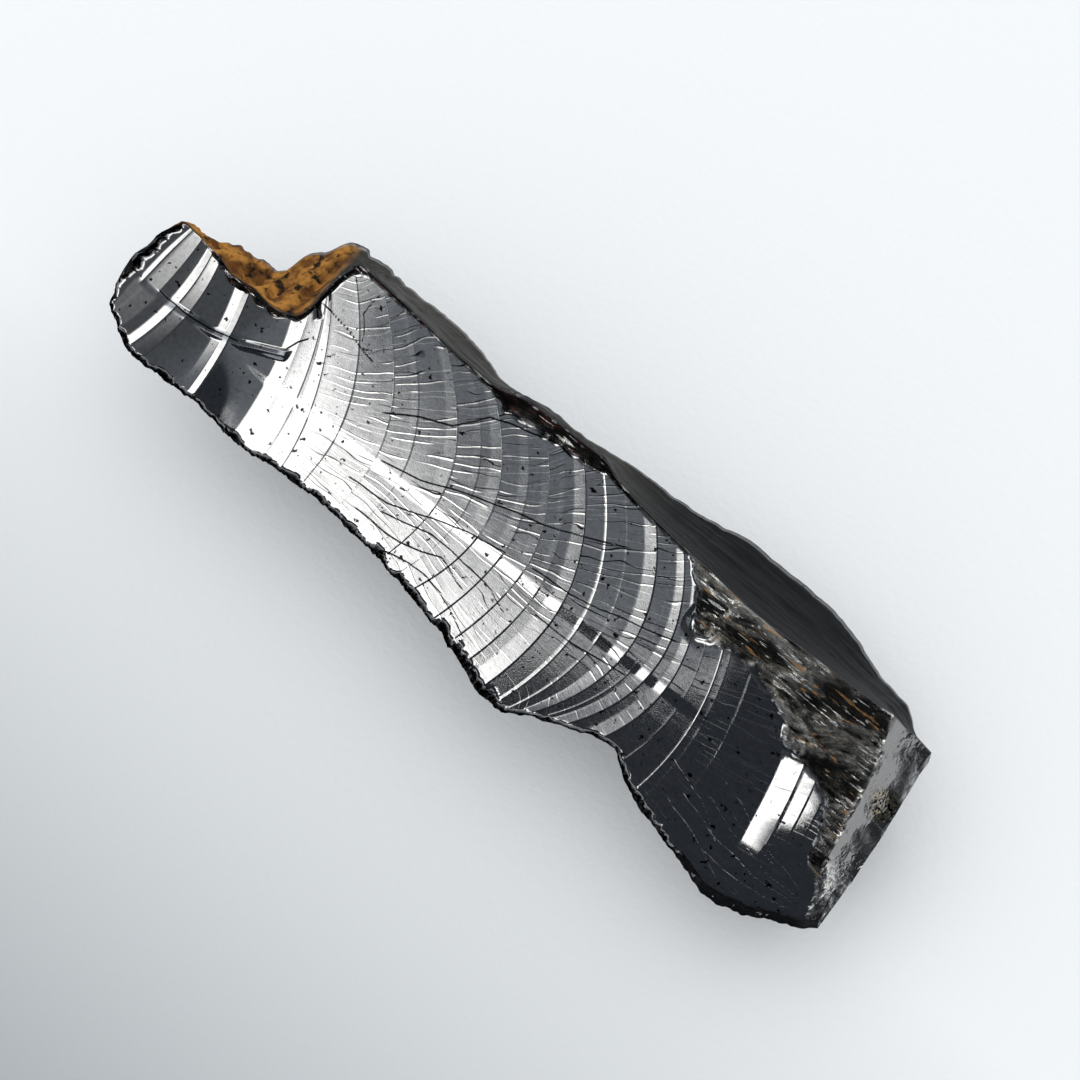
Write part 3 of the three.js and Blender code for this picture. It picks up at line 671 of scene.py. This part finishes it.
def buildStone():
    body, older = [], None
    for nose in rowPlaces():
        ringHere, paths = ring(nose, older)
        older = (nose, paths)
        body.append(ringHere)
    tipX = stone["tip"] - stone["tipCap"]
    rows = capRings(body[0], tipX)[::-1] + body + capRings(body[-1], stone["endFace"])
    around = len(rows[0])
    print("stone rows", len(rows), "columns", around)

    # the tables are measured from a mark on the stone, and the frame from the middle of its box
    shift = Vector((cadBox[0][0] / mm - tipX, cadBox[1][1] / mm - stone["farReach"], 0))
    bm = bmesh.new()
    bmesh.ops.create_uvsphere(bm, u_segments=around, v_segments=len(rows) - 1, radius=1)
    layers = {name: bm.verts.layers.float.new(name) for name in marks}
    for v in bm.verts:
        row = round(math.acos(clamp(v.co.z, -1, 1)) / math.pi * (len(rows) - 1))
        column = round(math.atan2(v.co.y, v.co.x) / math.tau * around) % around
        p, values = rows[row][column]
        for name, value in values.items():
            v[layers[name]] = value
        v.co = (p + shift) * mm
    bmesh.ops.recalc_face_normals(bm, faces=bm.faces)
    if bm.calc_volume(signed=True) < 0:
        bmesh.ops.reverse_faces(bm, faces=bm.faces)
    for edge in bm.edges:
        edge.smooth = edge.calc_face_angle(0) < math.radians(stone["sharpAngle"])
    for face in bm.faces:
        face.smooth = True
    mesh = bpy.data.meshes.new("stone")
    bm.to_mesh(mesh)
    triangles = sum(len(face.verts) - 2 for face in bm.faces)
    print("stone volume", round(bm.calc_volume() * 1e6, 3), "cm3, triangles", triangles)
    bm.free()
    piece = bpy.data.objects.new("stone", mesh)
    scene.collection.objects.link(piece)
    return piece


# Node helpers
def newMaterial(name):
    material = bpy.data.materials.new(name)
    material.use_nodes = True
    return material, material.node_tree, material.node_tree.nodes["Principled BSDF"]


def plug(tree, source, socket):
    if isinstance(source, bpy.types.NodeSocket):
        tree.links.new(source, socket)
    else:
        socket.default_value = source


def mark(tree, name):
    node = tree.nodes.new("ShaderNodeAttribute")
    node.attribute_name = name
    return node.outputs["Fac"]


def math2(tree, operation, a, b=0.0, clamped=False):
    node = tree.nodes.new("ShaderNodeMath")
    node.operation = operation
    node.use_clamp = clamped
    plug(tree, a, node.inputs[0])
    plug(tree, b, node.inputs[1])
    return node.outputs[0]


def rangeOf(tree, value, low, high, toLow=0.0, toHigh=1.0):
    node = tree.nodes.new("ShaderNodeMapRange")
    plug(tree, value, node.inputs["Value"])
    limits = {"From Min": low, "From Max": high, "To Min": toLow, "To Max": toHigh}
    for name, limit in limits.items():
        node.inputs[name].default_value = limit
    return node.outputs["Result"]


def mixColour(tree, amount, a, b):
    node = tree.nodes.new("ShaderNodeMix")
    node.data_type = "RGBA"
    plug(tree, amount, node.inputs[0])
    for source, index in ((a, 6), (b, 7)):
        plug(tree, (*source, 1) if isinstance(source, tuple) else source, node.inputs[index])
    return node.outputs[2]


def mixValue(tree, amount, a, b):
    node = tree.nodes.new("ShaderNodeMix")
    plug(tree, amount, node.inputs[0])
    plug(tree, a, node.inputs[2])
    plug(tree, b, node.inputs[3])
    return node.outputs[0]


def noiseOf(tree, vector, perUnit, detail, roughness=0.5):
    node = tree.nodes.new("ShaderNodeTexNoise")
    plug(tree, vector, node.inputs["Vector"])
    node.inputs["Scale"].default_value = perUnit
    node.inputs["Detail"].default_value = detail
    node.inputs["Roughness"].default_value = roughness
    return node.outputs["Fac"]


def vectorMath(tree, operation, place, by):
    node = tree.nodes.new("ShaderNodeVectorMath")
    node.operation = operation
    tree.links.new(place, node.inputs[0])
    node.inputs[1].default_value = by
    return node.outputs


# A place with its three numbers scaled each by its own share
def stretched(tree, place, by):
    return vectorMath(tree, "MULTIPLY", place, by)[0]


def combine(tree, x, y, z=0.0):
    node = tree.nodes.new("ShaderNodeCombineXYZ")
    for source, socket in zip((x, y, z), node.inputs):
        plug(tree, source, socket)
    return node.outputs[0]


def bump(tree, height, distance, strength=1.0, normal=None):
    node = tree.nodes.new("ShaderNodeBump")
    node.inputs["Distance"].default_value = distance
    plug(tree, strength, node.inputs["Strength"])
    plug(tree, height, node.inputs["Height"])
    if normal:
        plug(tree, normal, node.inputs["Normal"])
    return node.outputs["Normal"]


def times(tree, a, b):
    return math2(tree, "MULTIPLY", a, b)


def larger(tree, a, b):
    return math2(tree, "MAXIMUM", a, b)


finish = {
    "gloss": (0.33, 0.335, 0.345),
    # painted highlight on the pale hackle lines, and the pale scratches' own colour
    "paleHighlightAndScratch": (0.62, 0.62, 0.62),
    "flank": (0.045, 0.043, 0.038),
    "flankDark": (0.008, 0.0085, 0.0095),
    "under": (0.05, 0.052, 0.055),
    "crushed": (0.022, 0.022, 0.02),
    # painted highlight on the crests of the crushed folds
    "crushedCrestHighlight": (0.26, 0.255, 0.235),
    # painted glints in the crushed band
    "glint": (0.8, 0.8, 0.78),
    "ochre": (0.24, 0.12, 0.035),
    "rim": (0.01, 0.01, 0.01),
    "rimRust": (0.045, 0.018, 0.012),
    "rust": (0.46, 0.21, 0.045),
    "rustBrown": (0.15, 0.062, 0.018),
    "rustDark": (0.02, 0.014, 0.01),
    "endFace": (0.3, 0.295, 0.29),
    # painted highlight on the ribs at the lower end of the slant
    "endRibHighlight": (0.8, 0.78, 0.74),
    "glitter": (0.35, 0.3, 0.18),
    "scratch": (0.13, 0.14, 0.155),
    # painted shade in cracks, on chips and along the dark hackle lines, and black specks
    "shadeAndSpecks": (0.006, 0.006, 0.007),
    "black": (0.0, 0.0, 0.0),
    # roughness
    "glossRoughness": 0.05,
    "scarRoughness": 0.4,
    "scratchRoughness": 0.18,
    "slantRoughness": 0.2,
    "flankRoughness": 0.45,
    "crushedRoughness": 0.22,
    "rustRoughness": 0.85,
    # how high the fine patterns stand, in mm
    "hackleHeight": 0.0018,
    "fibreHeight": 0.2,
    "ribbingHeight": 0.07,
    "bandsHeight": 0.15,
    "rustHeight": 0.8,
    "grainHeight": 0.001,
}

# Noise patterns: how many spots there are in a mm, how fine they go, and the share of each direction
patterns = {
    "pits": {"perMm": 2.4, "detail": 4.0},
    "grain": {"perMm": 14.0, "detail": 3.0},
    "mottle": {"perMm": 4.0, "detail": 5.0},
    "specks": {"perMm": 7.0, "detail": 3.0},
    "fibres": {"perMm": 1.6, "detail": 5.0, "stretch": (0.35, 2.2, 1.4), "roughness": 0.6},
    "glints": {"perMm": 1.3, "detail": 3.0, "stretch": (0.5, 5.0, 3.6)},
    "clusters": {"perMm": 0.7, "detail": 2.0},
    "ribbing": {"perMm": 1.4, "detail": 2.0, "stretch": (3.4, -2.1, 0.0)},
    "bands": {"perMm": 1.1, "detail": 4.0, "stretch": (0.15, 1.6, 1.6)},
    "rust": {"perMm": 0.9, "detail": 5.0},
    "rustSoot": {"perMm": 1.6, "detail": 6.0},
}

# Where each pattern starts to show and where it shows in full, and its values there if not 0 and 1
shows = {
    "pits": (0.35, 0.31),
    "ochre": (0.58, 0.66),
    "glints": (0.58, 0.62),
    "glintClusters": (0.48, 0.56),
    "folds": (0.45, 0.95),
    "rimRust": (0.56, 0.62),
    "glitter": (0.5, 0.56),
    "glitterDarkSpecks": (0.48, 0.44),
    "endRibs": (0.45, 0.53),
    "rustPatches": (0.42, 0.58),
    "rustSoot": (0.52, 0.64),
    "scars": (0.7, 0.95),
    "cracks": (0.55, 0.75),
    "mottle": (0.3, 0.7, 0.82, 1.06),
    "flankShade": (0.3, 0.7, 0.5, 1.25),
    "grainRoughness": (0.3, 0.7, -0.015, 0.03),
    # along the stone, as numbers of the fronts
    "hackleCentre": (12.0, 10.0),
    "hackleEnd": (12.4, 15.5, 0.0, 0.6),
    "paleRoughness": (10.4, 11.6, 0.08, 0.37),
    "darkFlank": (5.0, 9.0),
    "rust": (-14.4, -15.6),
    # in y
    "endRibsBelow": (-2.8, -4.0),
}

# Three sets of hackle lines: how many lie in a mm, the share of its space that each line fills, a
# seed, and about how much of their length is left out
# the pale and fine lines are painted highlights, and the dark lines are painted shade
hackles = {
    "pale": {"perMm": 2.8, "width": 0.15, "seed": 1.5, "cover": 0.48},
    "dark": {"perMm": 1.9, "width": 0.08, "seed": 11.5, "cover": 0.48},
    "fine": {"perMm": 5.0, "width": 0.25, "seed": 21.5, "cover": 0.52},
}


# Lines that run the way the crack ran: the lines, a thin strip of painted shade beside each, a ramp
# that rises over each line and falls after it, and where the lines are whole
def hackleLines(tree, path, front, perMm, width, seed, cover):
    slower = times(tree, front, 0.25)  # wobbles and dashes are long
    wobble = noiseOf(tree, combine(tree, path, slower, seed), 0.8, 2.0)
    phase = math2(tree, "ADD", times(tree, path, perMm), times(tree, wobble, 2.5))
    share = math2(tree, "FRACT", phase)
    which = times(tree, math2(tree, "FLOOR", phase), 0.73)  # each line has its own dashes
    dash = noiseOf(tree, combine(tree, which, slower, seed + 5.3), 1.0, 1.0)
    here = rangeOf(tree, dash, cover, cover + 0.06)
    line = times(tree, rangeOf(tree, share, width, width * 0.7), rangeOf(tree, share, 0.0, width * 0.3))
    beside = times(tree, rangeOf(tree, share, width * 1.6, width * 1.4),
                   rangeOf(tree, share, width * 0.9, width))
    rising = math2(tree, "DIVIDE", share, width)
    falling = math2(tree, "DIVIDE", math2(tree, "SUBTRACT", 1.0, share), 1 - width)
    ramp = math2(tree, "MINIMUM", rising, falling)
    return times(tree, line, here), times(tree, beside, here), ramp, here


# The place on a piece in mm
def placeInMm(tree):
    return stretched(tree, tree.nodes.new("ShaderNodeTexCoord").outputs["Object"], [1 / mm] * 3)


def splitOf(tree, place):
    node = tree.nodes.new("ShaderNodeSeparateXYZ")
    tree.links.new(place, node.inputs[0])
    return node.outputs


def patternOf(tree, place, name):
    spec = patterns[name]
    stretch, roughness = spec.get("stretch", (1, 1, 1)), spec.get("roughness", 0.5)
    return noiseOf(tree, stretched(tree, place, stretch), spec["perMm"], spec["detail"], roughness)


def shownBy(tree, value, name):
    return rangeOf(tree, value, *shows[name])


def shungiteMaterial():
    material, tree, shader = newMaterial("shungite")
    place = placeInMm(tree)
    front, path = mark(tree, "front"), mark(tree, "path")
    band, rim = mark(tree, "band"), mark(tree, "rim")
    flank, under = mark(tree, "flank"), mark(tree, "under")
    groove, chip, hackle = mark(tree, "groove"), mark(tree, "chip"), mark(tree, "hackle")
    scratch, slant, fold = mark(tree, "scratch"), mark(tree, "slant"), mark(tree, "fold")

    # fine hackles: long across the fronts, thin along them. Their pale lines are painted highlights;
    # their dark lines and the strips beside the pale ones are painted shade
    pale, shadeBesidePale, paleRamp, paleHere = hackleLines(tree, path, front, **hackles["pale"])
    dark = hackleLines(tree, path, front, **hackles["dark"])[0]
    fine = hackleLines(tree, path, front, **hackles["fine"])[0]
    inCentre = shownBy(tree, front, "hackleCentre")
    atEnd = shownBy(tree, front, "hackleEnd")
    shown = times(tree, hackle, larger(tree, inCentre, atEnd))
    pale = times(tree, pale, shown)
    fine = times(tree, fine, shown)
    dark = times(tree, larger(tree, dark, shadeBesidePale), times(tree, hackle, inCentre))
    scar = shownBy(tree, mark(tree, "scar"), "scars")
    pitMask = shownBy(tree, patternOf(tree, place, "pits"), "pits")
    grain = patternOf(tree, place, "grain")

    # crushed band and rim: fibres that flow along the stone, with painted highlights on the crests of
    # the folds and painted glints
    fibres = patternOf(tree, place, "fibres")
    streak = times(tree, shownBy(tree, fibres, "ochre"), band)
    glints = patternOf(tree, place, "glints")
    clusters = patternOf(tree, place, "clusters")
    glint = times(tree, shownBy(tree, glints, "glints"), shownBy(tree, clusters, "glintClusters"))
    crushed = larger(tree, band, rim)
    crestHighlight = shownBy(tree, fold, "folds")
    crushedColour = mixColour(tree, crestHighlight, finish["crushed"], finish["crushedCrestHighlight"])
    crushedColour = mixColour(tree, streak, crushedColour, finish["ochre"])
    rimRust = shownBy(tree, fibres, "rimRust")
    rimColour = mixColour(tree, rimRust, finish["rim"], finish["rimRust"])
    crushedColour = mixColour(tree, band, rimColour, crushedColour)
    crushedColour = mixColour(tree, glint, crushedColour, finish["glint"])

    # glossy face: painted highlights along the pale hackle lines, pale scratch marks, painted shade
    # along the dark hackle lines, and black pits
    lineColour = mixColour(tree, pale, finish["gloss"], finish["paleHighlightAndScratch"])
    lineColour = mixColour(tree, times(tree, fine, 0.5), lineColour, finish["paleHighlightAndScratch"])
    lineColour = mixColour(tree, scar, lineColour, finish["paleHighlightAndScratch"])
    glossColour = mixColour(tree, scratch, lineColour, finish["scratch"])
    glossColour = mixColour(tree, larger(tree, pitMask, dark), glossColour, finish["shadeAndSpecks"])
    mottle = shownBy(tree, patternOf(tree, place, "mottle"), "mottle")
    glossColour = mixColour(tree, mottle, finish["black"], glossColour)

    # the slant, with its glitter patch and painted highlights on the ribs of its lower end
    glitter, specks = mark(tree, "glitter"), patternOf(tree, place, "specks")
    glitterHere = times(tree, glitter, shownBy(tree, specks, "glitter"))
    darkSpecks = times(tree, glitter, shownBy(tree, specks, "glitterDarkSpecks"))
    endColour = mixColour(tree, glitterHere, finish["endFace"], finish["glitter"])
    endColour = mixColour(tree, darkSpecks, endColour, finish["shadeAndSpecks"])
    ribbing = patternOf(tree, place, "ribbing")
    lowerEnd = shownBy(tree, splitOf(tree, place)["Y"], "endRibsBelow")
    ribHighlight = times(tree, lowerEnd, shownBy(tree, ribbing, "endRibs"))
    endColour = mixColour(tree, ribHighlight, endColour, finish["endRibHighlight"])
    glossColour = mixColour(tree, slant, glossColour, endColour)

    # broken sides, and rust on them near the tip
    bands = patternOf(tree, place, "bands")
    darkFlank = shownBy(tree, front, "darkFlank")
    flankColour = mixColour(tree, darkFlank, finish["flank"], finish["flankDark"])
    flankShade = shownBy(tree, bands, "flankShade")
    flankColour = mixColour(tree, flankShade, finish["black"], flankColour)
    sideColour = mixColour(tree, flank, finish["under"], flankColour)
    side = larger(tree, flank, under)
    rusty = math2(tree, "MULTIPLY", flank, shownBy(tree, front, "rust"), True)
    rustSpread = patternOf(tree, place, "rust")
    rustPatches = shownBy(tree, rustSpread, "rustPatches")
    rustColour = mixColour(tree, rustPatches, finish["rustBrown"], finish["rust"])
    rustSoot = shownBy(tree, patternOf(tree, place, "rustSoot"), "rustSoot")
    rustColour = mixColour(tree, rustSoot, rustColour, finish["rustDark"])

    colour = mixColour(tree, side, glossColour, sideColour)
    colour = mixColour(tree, crushed, colour, crushedColour)
    colour = mixColour(tree, rusty, colour, rustColour)
    # painted shade in the cracks and on the chipped edges
    black = larger(tree, shownBy(tree, groove, "cracks"), chip)
    plug(tree, mixColour(tree, black, colour, finish["shadeAndSpecks"]), shader.inputs["Base Color"])

    roughness = math2(tree, "ADD", finish["glossRoughness"], shownBy(tree, grain, "grainRoughness"))
    paleRoughness = shownBy(tree, front, "paleRoughness")
    roughness = mixValue(tree, larger(tree, pale, fine), roughness, paleRoughness)
    for share, name in (
        (scar, "scar"), (scratch, "scratch"), (slant, "slant"), (side, "flank"), (crushed, "crushed"),
        (rusty, "rust"),
    ):
        roughness = mixValue(tree, share, roughness, finish[name + "Roughness"])
    plug(tree, roughness, shader.inputs["Roughness"])
    metal = mixValue(tree, flank, 0.95, 0.0)
    metal = mixValue(tree, times(tree, streak, crushed), metal, 0.1)
    plug(tree, metal, shader.inputs["Metallic"])
    plug(tree, rangeOf(tree, flank, 0.0, 1.0, 0.5, 0.04), shader.inputs["Specular IOR Level"])

    normal = bump(tree, paleRamp, finish["hackleHeight"] * mm, times(tree, paleHere, hackle))
    for height, name, share in (
        (fibres, "fibre", crushed), (ribbing, "ribbing", slant), (bands, "bands", side),
        (rustSpread, "rust", rusty), (grain, "grain", 1.0),
    ):
        normal = bump(tree, height, finish[name + "Height"] * mm, share, normal)
    plug(tree, normal, shader.inputs["Normal"])
    return material


tableTop = {
    "halfSize": 3.0,  # m
    "colour": (0.85, 0.86, 0.865),
    # painted shade where the light falls off towards the lower left
    "paintedShadeColour": (0.35, 0.37, 0.38),
    "shade": (-0.04, -0.004),  # from the dark colour to the other along y, in m
    "roughness": 0.6,
    "specular": 0.15,
    # painted light: the floor glows a little, which lifts its shadows
    "glowTint": (0.98, 0.99, 1, 1),
    "glow": 0.07,
    "grainPerMetre": 2200.0,
    "grainHeight": 0.06,  # mm
    "grainStrength": 0.5,
}


def flatSheet(name, halfSize, material, turned=False):
    bm = bmesh.new()
    bmesh.ops.create_grid(bm, x_segments=1, y_segments=1, size=halfSize)
    if turned:
        bmesh.ops.reverse_faces(bm, faces=bm.faces)
    mesh = bpy.data.meshes.new(name)
    bm.to_mesh(mesh)
    bm.free()
    mesh.materials.append(material)
    sheet = bpy.data.objects.new(name, mesh)
    scene.collection.objects.link(sheet)
    return sheet


def paleFloor():
    material, tree, shader = newMaterial("palePaper")
    shader.inputs["Roughness"].default_value = tableTop["roughness"]
    shader.inputs["Specular IOR Level"].default_value = tableTop["specular"]
    # painted shade: a little darker towards the lower left of the picture, where the light falls off
    place = tree.nodes.new("ShaderNodeTexCoord").outputs["Object"]
    shade = rangeOf(tree, splitOf(tree, place)["Y"], *tableTop["shade"])
    colour = mixColour(tree, shade, tableTop["paintedShadeColour"], tableTop["colour"])
    plug(tree, colour, shader.inputs["Base Color"])
    # painted light: a faint glow that lifts the shadows on the floor
    shader.inputs["Emission Color"].default_value = tableTop["glowTint"]
    shader.inputs["Emission Strength"].default_value = tableTop["glow"]
    grain = noiseOf(tree, place, tableTop["grainPerMetre"], 2.0)
    grain = bump(tree, grain, tableTop["grainHeight"] * mm, tableTop["grainStrength"])
    plug(tree, grain, shader.inputs["Normal"])
    flatSheet("floor", tableTop["halfSize"], material)
    print("floor laid")


# The room over the stone is one large card with a bright patch, hidden from the camera. Its places are
# in mm on the card, and an edge is a point on it and the way across it.
roomCard = {
    "height": 0.25,  # m
    "size": 1.4,  # m
    "sharpEdges": [((-52.3, -72.2), (-0.42, 0.908)), ((-38.9, -66), (-0.273, 0.961))],
    "sharpFade": (-0.5, 0.5),
    "softEdge": ((-74, -58.6), (-0.26, -0.965)),
    "softFade": (-4, 15, 1.5),  # from, to and the power of the ramp
    "leftFade": (-85, -165, 2.4),
    # lit on the far side of the sharp edges too, beyond this x and over this y
    "openX": (-54, -57),
    "openY": (-150, -100),
    # a dark part lies between these x and below this y
    "darkFrom": (-5, -1),
    "darkTo": (200, 150),
    "darkBelow": (-5, -12),
    "bright": 4.2,
    "brightFades": (-180, -450),  # x
    "brightLeast": 0.25,
    "grey": 0.3,
    "greyX": (-30, 10, 1, 0.45),  # from, to, and the share at each
    "greyY": (-15, 10, 1, 0.45),
    "greyMore": [(200, 350, 0, 4.5), (460, 560, 0, 5.0)],
    "dark": 0.02,
    "strip": 0.3,  # a dim strip beside the sharp edges
    "stripFade": (5.5, 1.5),
    "brightTint": (1.0, 0.98, 0.94),
    "greyTint": (0.9, 0.97, 1.06),
    "darkTint": (0.6, 0.9, 1.4),
}


# Distance of a place from an edge
def sideOf(tree, place, edge):
    (px, py), (nx, ny) = edge
    along = vectorMath(tree, "DOT_PRODUCT", place, (nx, ny, 0))["Value"]
    return math2(tree, "SUBTRACT", along, px * nx + py * ny)


# The light of one area of the card
def litTint(area, share=1.0):
    return tuple(c * roomCard[area] * share for c in roomCard[area + "Tint"])


def addRoomCard():
    material = bpy.data.materials.new("roomCard")
    material.use_nodes = True
    tree = material.node_tree
    tree.nodes.clear()
    place = placeInMm(tree)
    split = splitOf(tree, place)
    x, y = split["X"], split["Y"]
    overSharp = larger(tree, *[sideOf(tree, place, edge) for edge in roomCard["sharpEdges"]])
    overSoft = sideOf(tree, place, roomCard["softEdge"])

    # where the card is lit
    openSide = times(tree, rangeOf(tree, x, *roomCard["openX"]), rangeOf(tree, y, *roomCard["openY"]))
    inside = larger(tree, rangeOf(tree, overSharp, *roomCard["sharpFade"]), openSide)
    darkEnd = times(tree, rangeOf(tree, x, *roomCard["darkFrom"]), rangeOf(tree, x, *roomCard["darkTo"]))
    darkEnd = times(tree, darkEnd, rangeOf(tree, y, *roomCard["darkBelow"]))
    inside = math2(tree, "SUBTRACT", inside, darkEnd, True)

    # the bright patch, and a dim strip along the sharp edges
    low, high, power = roomCard["softFade"]
    wedge = math2(tree, "POWER", rangeOf(tree, overSoft, low, high), power)
    low, high, power = roomCard["leftFade"]
    left = math2(tree, "POWER", rangeOf(tree, x, low, high), power)
    strip = rangeOf(tree, overSharp, *roomCard["stripFade"], 0, roomCard["strip"])
    bright = larger(tree, larger(tree, wedge, left), strip)
    fades = rangeOf(tree, x, *roomCard["brightFades"])
    brightColour = mixColour(tree, fades, litTint("bright"), litTint("bright", roomCard["brightLeast"]))

    greyHere = times(tree, rangeOf(tree, x, *roomCard["greyX"]), rangeOf(tree, y, *roomCard["greyY"]))
    for more in roomCard["greyMore"]:
        greyHere = math2(tree, "ADD", greyHere, rangeOf(tree, x, *more))
    greyColour = mixColour(tree, greyHere, finish["black"], litTint("grey"))
    colour = mixColour(tree, bright, greyColour, brightColour)
    colour = mixColour(tree, inside, litTint("dark"), colour)
    emission = tree.nodes.new("ShaderNodeEmission")
    tree.links.new(colour, emission.inputs["Color"])
    output = tree.nodes.new("ShaderNodeOutputMaterial")
    tree.links.new(emission.outputs[0], output.inputs["Surface"])
    card = flatSheet("roomCard", roomCard["size"] / 2, material, turned=True)
    card.location.z = roomCard["height"]
    card.visible_camera = False
    card.visible_diffuse = False
    card.visible_shadow = False
    print("room card placed")


# The soft light over the table: where it is, where it looks, its size in metres and its power
lights = {
    "key": {
        "at": (0, 0.09, 0.16), "aim": (0, 0.03, 0), "size": (0.34, 0.34), "power": 0.05,
        "tint": (1, 0.99, 0.98),
    },
}
room = {"tint": (0.94, 0.97, 1.0, 1), "strength": 0.98}


def addLights():
    for name, spec in lights.items():
        data = bpy.data.lights.new(name, "AREA")
        data.shape = "RECTANGLE"
        data.size, data.size_y = spec["size"]
        data.energy = spec["power"]
        data.color = spec["tint"]
        light = bpy.data.objects.new(name, data)
        scene.collection.objects.link(light)
        light.location = spec["at"]
        away = Vector(spec["at"]) - Vector(spec["aim"])
        light.rotation_euler = away.to_track_quat("Z", "Y").to_euler()
        light.visible_camera = False
        light.visible_glossy = False
    world = bpy.data.worlds.new("room")
    world.use_nodes = True
    background = world.node_tree.nodes["Background"]
    background.inputs["Color"].default_value = room["tint"]
    background.inputs["Strength"].default_value = room["strength"]
    scene.world = world
    print("lights placed")


stonePiece = buildStone()
stonePiece.data.materials.append(shungiteMaterial())
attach(stonePiece, "root")
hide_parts("shungite_splinter")
print("stone finished")
paleFloor()
addRoomCard()
addLights()
